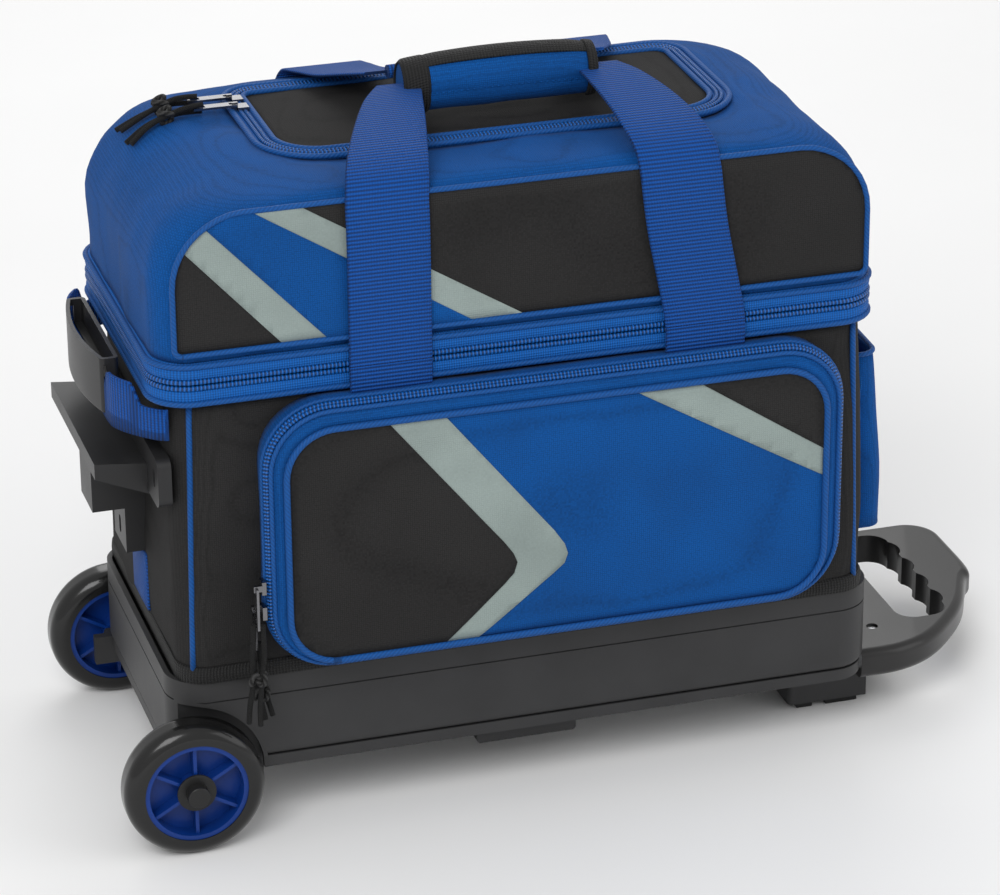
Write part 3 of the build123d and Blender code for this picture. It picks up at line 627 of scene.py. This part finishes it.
def make_waist(body, slot, node, levels, name):
    """levels: z of the seam against the fabric, of the tape's two edges, and of the coil."""
    seam, tape_a, tape_b, coil = levels
    profile = [(-7.0, seam), (-1.5, seam), (0.6, tape_a), (1.2, (tape_a + tape_b) / 2), (0.6, tape_b),
               (-1.5, coil), (-4.0, coil)]
    rows = [closed_ring(waist_outline(out), z) for out, z in profile]
    band = grid(name + "_tape", [list(row) for row in zip(*rows)], "tape", loop=True)
    finish_piece(band, body, slot, node)
    edge = tube(name + "_piping", closed_ring(waist_outline(0.6), seam + (tape_a - seam) * 0.5), 2.1,
                "piping", closed=True)
    finish_piece(edge, body, slot)
    teeth = tube(name + "_coil", closed_ring(waist_outline(-0.3), coil), 2.0, "coil", closed=True)
    finish_piece(teeth, body, slot)


def make_waists():
    make_waist("bag", "blue_zipper", "waist_zip_lower",
               (349.0, 352.5, 359.5, WAIST_SPLIT - 2.3), "waist_lower")
    make_waist("upper_compartment", "blue_zipper", "waist_zip_upper",
               (381.0, 377.5, 370.5, WAIST_SPLIT + 2.3), "waist_upper")


# ------------------------------------------------------------------ upper compartment
def lid_level(z):
    """The upper compartment's plan at height z, inside its rounded ends and top edges."""
    end = edge = 0.0
    if z > LID_TOP - LID_END_R:
        rise = min(z - LID_TOP + LID_END_R, LID_END_R)
        end = LID_END_R - math.sqrt(max(LID_END_R ** 2 - rise ** 2, 0))
    if z > LID_TOP - LID_EDGE_R:
        rise = min(z - LID_TOP + LID_EDGE_R, LID_EDGE_R)
        edge = LID_EDGE_R - math.sqrt(max(LID_EDGE_R ** 2 - rise ** 2, 0))
    return end, edge


def make_lid():
    levels = [WAIST_TOP - 1, 388, 396, 406, 416, 426, 436, 445, 453, 460, 466, 471, 476, 480, 484,
              487.5, 490.5, 493, 494.8, LID_TOP]
    rows = []
    for z in levels:
        end, edge = lid_level(z)
        radius = LID_CORNER + 0.45 * end
        plan = outline(LID_X0 + end, LID_X1 - end, -LID_Y + edge, LID_Y - edge, radius)
        rows.append(closed_ring(plan, z))
    mouth_radii = (TOP_FRONT_R, TOP_REAR_R, TOP_REAR_R, TOP_FRONT_R)
    mouth = outline(TOP_X0, TOP_X1, TOP_Y0, TOP_Y1, mouth_radii)
    outer = rows[-1]
    # the top skin runs from the last ring in to the zipper
    inner = closed_ring(mouth, LID_TOP)
    for t in (0.15, 0.35, 0.6, 0.8, 1.0):
        rows.append([a.lerp(b, t) + Vector((0, 0, 0.0012 * math.sin(math.pi * t)))
                     for a, b in zip(outer, inner)])
    shell = grid("upper_fabric", rows, "blue", tube=True)
    uneven(shell, 60, 3.0)
    uneven(shell, 22, 0.7)
    for vertex in shell.data.vertices:
        vertex.co.y = max(vertex.co.y, -LID_Y * 0.001)      # the front panel covers this side
    thick(shell, 2.4)
    finish_piece(shell, "upper_compartment", "blue_fabric", "upper_shell")

    floor_ring = closed_ring(outline(LID_X0 + 4, LID_X1 - 4, -LID_Y + 4, LID_Y - 4, 26), WAIST_TOP + 2)
    middle = Vector((sum(p.x for p in floor_ring), sum(p.y for p in floor_ring), 0)) / len(floor_ring)
    rows = [[middle.lerp(p, t) + Vector((0, 0, p.z * (1 - t))) for p in floor_ring]
            for t in (0.02, 0.3, 0.6, 0.85, 1.0)]
    lining = uneven(grid("upper_floor_lining", rows, "lining", tube=True), 90, 2.0)
    thick(lining, 2.0)
    finish_piece(lining, "upper_compartment", "black_fabric")


def make_top():
    """Double zipper loop round the black flap in the top."""
    def loop_at(inset, z):
        radii = (TOP_FRONT_R - inset, TOP_REAR_R - inset, TOP_REAR_R - inset, TOP_FRONT_R - inset)
        radii = [max(r, 4.0) for r in radii]
        plan = outline(TOP_X0 + inset, TOP_X1 - inset, TOP_Y0 + inset, TOP_Y1 - inset, radii)
        return closed_ring(plan, z)

    rows = [loop_at(-3.0, 496.4), loop_at(0.0, 498.2), loop_at(4.4, 497.8), loop_at(5.6, 497.8),
            loop_at(10.0, 498.4), loop_at(13.0, 497.0)]
    tape = grid("top_zipper_tape", [list(row) for row in zip(*rows)], "tape", loop=True)
    thick(tape, 1.0)
    finish_piece(tape, "upper_compartment", "blue_zipper", "top_zipper")
    for name, inset, z, radius, material in (
            ("outer_piping", -2.4, 498.6, 2.2, "piping"), ("inner_piping", 12.0, 499.0, 2.2, "piping"),
            ("coil_outer", 3.2, 499.0, 1.6, "coil"), ("coil_inner", 6.8, 499.0, 1.6, "coil")):
        piece = tube("top_" + name, loop_at(inset, z), radius, material, closed=True)
        finish_piece(piece, "upper_compartment", "blue_zipper")

    middle = mm((TOP_X0 + TOP_X1) / 2, (TOP_Y0 + TOP_Y1) / 2, 0)
    edge = loop_at(12.5, 0)
    rows = []
    for t in (0.01, 0.2, 0.4, 0.6, 0.75, 0.88, 0.96, 1.0):
        height = 0.4985 + 0.0030 * (1 - t ** 4)
        rows.append([Vector((*(middle.lerp(p, t)).xy, height)) for p in edge])
    flap = uneven(grid("top_flap", rows, "black", tube=True), 55, 1.8)
    thick(flap, 2.2)
    finish_piece(flap, "upper_compartment", "black_fabric", "top_panel")


# ------------------------------------------------------------------ coloured panels
def patch(name, border, cuts, surface, lift_mm, material, cell=9.0):
    """Flat panel in X and Z inside border, cut back by half-planes, laid on surface(x, z).

    cuts are ((x, z), (x, z)) pairs, and what lies to the left of each is kept."""
    edit = bmesh.new()
    edit.faces.new([edit.verts.new((x, 0, z)) for x, z in border])
    for (ax, az), (bx, bz) in cuts:
        normal = Vector((bz - az, 0, -(bx - ax)))
        bmesh.ops.bisect_plane(edit, geom=edit.verts[:] + edit.edges[:] + edit.faces[:],
                               plane_co=(ax, 0, az), plane_no=normal, clear_outer=True)
    xs, zs = [v.co.x for v in edit.verts], [v.co.z for v in edit.verts]
    for axis, low, high in ((0, min(xs), max(xs)), (2, min(zs), max(zs))):
        place = low + cell
        while place < high:
            point, normal = [0, 0, 0], [0, 0, 0]
            point[axis], normal[axis] = place, 1
            bmesh.ops.bisect_plane(edit, geom=edit.verts[:] + edit.edges[:] + edit.faces[:],
                                   plane_co=point, plane_no=normal)
            place += cell
    for vertex in edit.verts:
        vertex.co = mm(vertex.co.x, surface(vertex.co.x, vertex.co.z) - lift_mm, vertex.co.z)
    for face in edit.faces:
        face.normal_update()
        if face.normal.y > 0:
            face.normal_flip()
    mesh = bpy.data.meshes.new(name)
    edit.to_mesh(mesh)
    edit.free()
    mesh.materials.append(MAT[material])
    mesh.shade_smooth()
    made = bpy.data.objects.new(name, mesh)
    bpy.context.scene.collection.objects.link(made)
    return thick(made, 0.8)


def pocket_surface(x, z):
    """The pocket panel's front: fullest in the middle, with slow waves."""
    u = (x - PANEL_X0) / (PANEL_X1 - PANEL_X0)
    v = (z - PANEL_Z0) / (PANEL_Z1 - PANEL_Z0)
    full = max(0.0, 16 * u * (1 - u) * v * (1 - v)) ** 0.5
    return PANEL_Y - 3.2 * full + 1000 * crease(mm(x, 0, z), 80, 1.1) * full


def lid_surface(x, z):
    """The upper front panel follows the lid's front face and its rounded top edge."""
    return -LID_Y - 1.5 + lid_level(z)[1] + 1000 * crease(mm(x, 50, z), 75, 0.7)


def make_pocket():
    def blended(t, y):
        """Outline part of the way from the pocket's outer edge to its front panel."""
        a = outline(POCKET_X0, POCKET_X1, POCKET_Z0, POCKET_Z1, POCKET_R)
        b = outline(PANEL_X0, PANEL_X1, PANEL_Z0, PANEL_Z1, PANEL_R)
        return upright([(ax + (bx - ax) * t, az + (bz - az) * t) for (ax, az), (bx, bz) in zip(a, b)], y)

    rows = [blended(0, -124.5), blended(0.0, -133.0), blended(0.0, -140.0), blended(0.04, -144.0),
            blended(0.2, -148.0), blended(0.6, -151.2), blended(0.95, -152.4), blended(1.0, -150.5)]
    gusset = uneven(grid("pocket_gusset", rows, "blue", tube=True), 50, 1.2)
    thick(gusset, 2.0)
    finish_piece(gusset, "bag", "blue_fabric", "front_pocket")
    for name, t, y, radius, material in (
            ("zip_coil_a", 0.05, -145.0, 1.7, "coil"), ("zip_coil_b", 0.12, -147.3, 1.7, "coil"),
            ("zip_edge_a", -0.03, -141.4, 1.7, "piping"), ("zip_edge_b", 0.26, -150.0, 1.7, "piping"),
            ("panel_piping", 0.97, -153.6, 2.4, "piping")):
        piece = tube("pocket_" + name, blended(t, y), radius, material, closed=True)
        nodes = ["pocket_zipper"] if name == "zip_coil_a" else []
        finish_piece(piece, "bag", "blue_zipper", *nodes)

    border = outline(PANEL_X0, PANEL_X1, PANEL_Z0, PANEL_Z1, PANEL_R)
    # three layers: blue panel, grey chevron and stripe, black corners
    panel = patch("pocket_panel_blue", border, [], pocket_surface, 0.0, "blue")
    finish_piece(panel, "bag", "blue_fabric", "pocket_panel")
    outer = [(-120.5, 331), (-38, 228), (-30, 216), (-27.5, 208), (-30, 200.5), (-38, 193.5), (-101.5, 144)]
    inner = [(-162, 331), (-76, 224), (-69, 214), (-66, 206.5), (-68.5, 198), (-76, 190), (-125, 144)]
    for name, edge, lift, material in (
            ("chevron_grey", outer, 0.6, "grey"), ("chevron_black", inner, 1.2, "black"),
            ("stripe_grey", [(180, 236), (28, 326)], 0.6, "grey"),
            ("corner_black", [(180, 257), (77, 326)], 1.2, "black")):
        cuts = list(zip(edge[1:], edge))
        piece = patch("pocket_" + name, border, cuts, pocket_surface, lift, material)
        finish_piece(piece, "bag", "black_fabric")


def make_lid_panel():
    x0, x1, z0, z1 = LID_PANEL
    border = outline(x0, x1, z0, z1, (6.0, LID_PANEL_R, LID_PANEL_R, 6.0))
    panel = patch("upper_panel_black", border, [], lid_surface, 0.0, "black")
    finish_piece(panel, "upper_compartment", "black_fabric")
    first = [(-295, 462), (-224, 383), (-280, 479), (-191, 383)]
    second = [(-252, 492), (-80, 383), (-221, 494), (-42, 383)]
    # grey band with the blue one on it, so that a grey stripe shows along each side
    bands = [("grey", first[0:2], second[2:4], 0.6), ("blue", first[2:4], second[0:2], 1.2)]
    for colour, low, high, lift in bands:
        piece = patch("upper_band_" + colour, border, [low, high[::-1]], lid_surface, lift, colour)
        finish_piece(piece, "upper_compartment", "blue_fabric")
    edge = [mm(x, lid_surface(x, z) - 0.8, z) for x, z in border]
    cord = tube("upper_panel_piping", edge, 2.0, "piping", closed=True)
    finish_piece(cord, "upper_compartment", "blue_fabric")


# ------------------------------------------------------------------ webbing
def ribbon(name, path, material, thickness=2.2):
    """Strip along X-wide stations: path holds (centre x, y, z, width)."""
    rows = []
    stations = smooth_path(path)
    for i, (x, y, z, width) in enumerate(stations):
        before, after = stations[max(i - 1, 0)], stations[min(i + 1, len(stations) - 1)]
        along = Vector((after[0] - before[0], after[1] - before[1], after[2] - before[2])).normalized()
        across = Vector((1, 0, 0))
        normal = along.cross(across).normalized()
        half, t = width / 2, thickness / 2
        section = [(-half, 0), (-half + 1, t), (-half / 2, t), (0, t), (half / 2, t), (half - 1, t),
                   (half, 0), (half - 1, -t), (half / 2, -t), (0, -t), (-half / 2, -t), (-half + 1, -t)]
        rows.append([mm(x, y, z) + mm(*(across * a + normal * b)) for a, b in section])
    return grid(name, rows, material, tube=True, caps=True)


def smooth_path(path, per_span=6):
    """Catmull-Rom stations through the path's own points."""
    made = []
    for i in range(len(path) - 1):
        p0, p1 = path[max(i - 1, 0)], path[i]
        p2, p3 = path[i + 1], path[min(i + 2, len(path) - 1)]
        for k in range(per_span):
            t = k / per_span
            made.append(tuple(0.5 * (2 * b + (c - a) * t + (2 * a - 5 * b + 4 * c - d) * t * t
                                     + (3 * b - a - 3 * c + d) * t ** 3)
                              for a, b, c, d in zip(p0, p1, p2, p3)))
    return made + [tuple(path[-1])]


# stations of a leg from the fold line up the wall, over the lid's edge and in to the grip
LEG_X = {-1: ((-152, -152, -152, -152, -152, -152, -150, -144, -133, -121, -111),
              (84, 82, 78, 70, 66, 64.5, 62.5, 59, 53, 45, 38)),
         1: ((-152, -151, -149, -145, -141, -138, -134, -130, -124, -117, -111),
             (84, 82, 78, 70, 66, 64.5, 62.5, 59, 53, 45, 38))}
LEG_WIDTH = (STRAP_WIDTH,) * 7 + (59, 53, 44, 34)
LEG_RISE = {-1: ((STRAP_Y, 366), (STRAP_Y, 380), (STRAP_Y, 400), (STRAP_Y, 440), (132.6, 470),
                 (131, 486), (125, 501), (105, 513), (72, 522), (38, 528), (16, 530)),
            1: ((REAR_STRAP_Y, 367.3), (REAR_STRAP_Y, 381), (REAR_STRAP_Y, 400), (REAR_STRAP_Y, 440),
                (REAR_STRAP_Y, 468), (130, 485), (123, 500), (105, 505), (72, 512), (40, 522), (14, 530))}


def leg_path(index, side):
    return [(x, side * y, z, width)
            for x, (y, z), width in zip(LEG_X[side][index], LEG_RISE[side], LEG_WIDTH)]


def make_straps():
    for index, name in enumerate(("left", "right")):
        x = STRAP_X[index]
        foot = [(x, -STRAP_Y, z, STRAP_WIDTH) for z in (338, 343, 348, 352, 356, 362, 365, 366)]
        low = ribbon(f"front_strap_foot_{name}", foot, "webbing")
        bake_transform(low)
        high = ribbon(f"front_strap_leg_{name}", leg_path(index, -1), "webbing")
        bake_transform(high)
        foot = [(x, REAR_STRAP_Y, z, STRAP_WIDTH) for z in (338, 345, 352, 358, 363, WAIST_SPLIT - 0.8)]
        finish_piece(ribbon(f"rear_strap_foot_{name}", foot, "webbing"), "bag", "blue_webbing")
        rear = ribbon(f"rear_strap_leg_{name}", leg_path(index, 1), "webbing")
        finish_piece(rear, "rear_loop", "blue_webbing")
        if index == 0:
            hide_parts("strap_anchors", "front_strap_folds")
            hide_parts("front_strap")
            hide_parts("rear_strap")
    bridge = [(WRAP_X0 - 3, REAR_GRIP_Y + 1, GRIP_Z), (WRAP_X0 + 40, REAR_GRIP_Y + 4, GRIP_Z),
              (WRAP_X1 - 40, REAR_GRIP_Y + 4, GRIP_Z), (WRAP_X1 + 2, REAR_GRIP_Y + 1, GRIP_Z)]
    rear_grip = tube("rear_strap_bridge", [mm(*p) for p in bridge], 5.0, "webbing")
    finish_piece(rear_grip, "rear_loop", "blue_webbing")


def wrap_point(t, degrees, lift=0.0):
    """Point on the wrap, t along it from the left and degrees round it from the rear over the top."""
    a = math.radians(degrees)
    full = 0.88 + 0.12 * max(0.0, math.sin(math.pi * min(max(t, 0.0), 1.0))) ** 0.5
    pinch = 1.0 - 0.06 * math.exp(-((degrees % 360 - 190) / 8.0) ** 2)
    y = FRONT_GRIP_Y + (WRAP_HALF_DEPTH * full * pinch + lift) * math.cos(a)
    high = (WRAP_Z1 - WRAP_Z0) / 2 * full * pinch + lift
    z = (WRAP_Z0 + WRAP_Z1) / 2 + 2.0 * math.sin(math.pi * t) + high * math.sin(a)
    return mm(WRAP_X0 + (WRAP_X1 - WRAP_X0) * t, y, z)


def wrap_band(name, starts, angles):
    """Black binding sewn over the wrap, between two shares of its length and two angles."""
    rows = [[wrap_point(starts[0] + (starts[1] - starts[0]) * i / 20,
                        angles[0] + (angles[1] - angles[0]) * k / 24,
                        1.8 * math.sin(math.pi * min(i, 20 - i, 3) / 6) + 0.4)
             for k in range(25)] for i in range(21)]
    band = thick(grid(name, rows, "binding"), 1.6)
    finish_piece(band, "front_loop", "black_binding")


def make_wrap():
    """Padded cuff round both straps: crowned, bound in black on top and at both ends."""
    stations, sides = 36, 40
    rows = [[wrap_point(i / stations, 360 * k / sides) for k in range(sides)]
            for i in range(stations + 1)]
    wrap = uneven(grid("handle_wrap_pad", rows, "blue", tube=True, caps=True), 30, 1.0)
    finish_piece(wrap, "front_loop", "blue_fabric", "handle_wrap")
    wrap_band("wrap_binding_left", (-0.01, 0.13), (-20, 250))
    wrap_band("wrap_binding_right", (0.955, 1.01), (-20, 250))
    wrap_band("wrap_binding_top", (0.05, 0.98), (66, 128))
    sewn = stitches("wrap_stitches", [wrap_point(0.16 + 0.76 * k / 30, 190, 0.8) for k in range(31)])
    finish_piece(sewn, "front_loop", "blue_fabric")


# ------------------------------------------------------------------ wheel end and handle end
def eased(value, low, high):
    """0 at low, 1 at high, smooth between."""
    t = min(max((value - low) / (high - low), 0.0), 1.0)
    return t * t * (3 - 2 * t)


def make_grab_handle():
    """Webbing loop; its upper edge is folded down at the wall and inside the grip."""
    path = [(BODY_Y - 13, -311.0), (107, -319.0), (94, -331.0), (80, -340.0), (66, -343.0), (30, -343.0)]
    path += [(-y, x) for y, x in path[::-1]]
    rows = []
    for y, x in smooth_path(path):
        top = GRAB_Z1 - 16 * eased(x, -333, -326) - 13.5 * eased(-abs(y), -68, -60)
        across = [(-1.2, 0.0)] + [(1.2, k / 4) for k in range(5)] + [(-1.2, 1 - k / 4) for k in range(4)]
        rows.append([mm(x + dx, y, GRAB_Z0 + (top - GRAB_Z0) * share) for dx, share in across])
    strip = grid("grab_strip", rows, "webbing", tube=True, caps=True)
    finish_piece(strip, "grab_handle", "blue_webbing", "grab_webbing")


def make_end_webbing():
    rows = []
    for i in range(9):
        z = 142 + 47 * i / 8
        section = [(-25, -311.0), (-24, -312.8), (0, -313.0), (24, -312.8), (25, -311.0), (0, -310.6)]
        rows.append([mm(x, y, z) for y, x in section])
    strip = grid("end_strip", rows, "webbing", tube=True, caps=True)
    finish_piece(strip, "bag", "blue_webbing", "end_webbing")


def make_side_pocket():
    """Soft open pocket: the mouth stands off the body and the foot sags a little."""
    rows = []
    x0, corner = BODY_X1 + 0.5, 12
    for i in range(13):
        t = i / 12
        z = SIDE_POCKET_Z0 + (SIDE_POCKET_Z1 - SIDE_POCKET_Z0) * t
        reach = 30.5 - 8.0 * t + 2.0 * math.sin(math.pi * t)
        half = SIDE_POCKET_HALF - 2.0 * t
        turns = [math.radians(9 * k) for k in range(11)]
        points = [(x0, -half)]
        points += [(x0 + reach - corner * (1 - math.sin(a)), -half + corner * (1 - math.cos(a)))
                   for a in turns]
        points += [(x0 + reach + 1.2 * math.sin(math.pi * k / 8),
                    -half + corner + 2 * (half - corner) * k / 8) for k in range(1, 8)]
        points += [(x, -y) for x, y in points[11::-1]]
        rows.append(ring_at(points, z))
    pouch = uneven(grid("side_pouch", rows, "blue"), 45, 1.6)
    thick(pouch, 2.0)
    bottom = [rows[0], [p.lerp(mm(BODY_X1 + 2, 0, SIDE_POCKET_Z0), 0.6) for p in rows[0]]]
    base = thick(grid("side_pouch_floor", bottom, "blue"), 1.6)
    finish_piece(pouch, "bag", "blue_fabric", "side_pocket")
    finish_piece(base, "bag", "blue_fabric")
    flange = patch_end("side_flange", BODY_X1 + 0.8, -103, 103, 146, 299)
    finish_piece(flange, "bag", "blue_fabric")
    lip = tube("side_pouch_lip", rows[-1], 2.0, "piping")
    finish_piece(lip, "bag", "blue_fabric")


def patch_end(name, x, y0, y1, z0, z1):
    """Fabric panel that lies on the handle end."""
    rows = [[mm(x + 0.6 * math.sin(3 * i + j), y0 + (y1 - y0) * j / 16, z0 + (z1 - z0) * i / 12)
             for j in range(17)] for i in range(13)]
    return thick(grid(name, rows, "blue"), 1.4)


# ------------------------------------------------------------------ hard parts keep their CAD shape
CAD_LOOKS = {
    "base": ["base_tray", "base_skirt", "mid_feet", "end_feet", "axle_brackets"],
    "bracket": ["stand_bracket", "grab_grip"],
    "grip": ["pull_grip"],
    "rubber": ["foot_pads"],
    "washer": ["wheel_washers", "axle_caps"],
    "steel": ["outer_rails", "axle", "middle_tubes", "inner_tubes", "grip_screws", "bracket_screws"],
    "board": ["stiffener_board"],
    "foam": ["ball_cups"],
    "lining": ["ball_divider"],
    "tyre": ["front_tyre", "rear_tyre"],
    "hub": ["front_hub", "rear_hub"],
    "gunmetal": ["waist_slider", "waist_pull", "pocket_slider_upper", "pocket_slider_lower",
                 "pocket_pull_upper", "pocket_pull_lower", "top_slider_front", "top_slider_rear",
                 "top_pull_front", "top_pull_rear"],
}


def dress_cad():
    for look, names in CAD_LOOKS.items():
        for name in names:
            materials = NODES[name].data.materials
            materials.clear()
            materials.append(MAT[look])


make_lower_body()
make_binding()
make_waists()
make_lid()
make_top()
make_pocket()
make_lid_panel()
make_straps()
make_wrap()
make_grab_handle()
make_end_webbing()
make_side_pocket()
dress_cad()
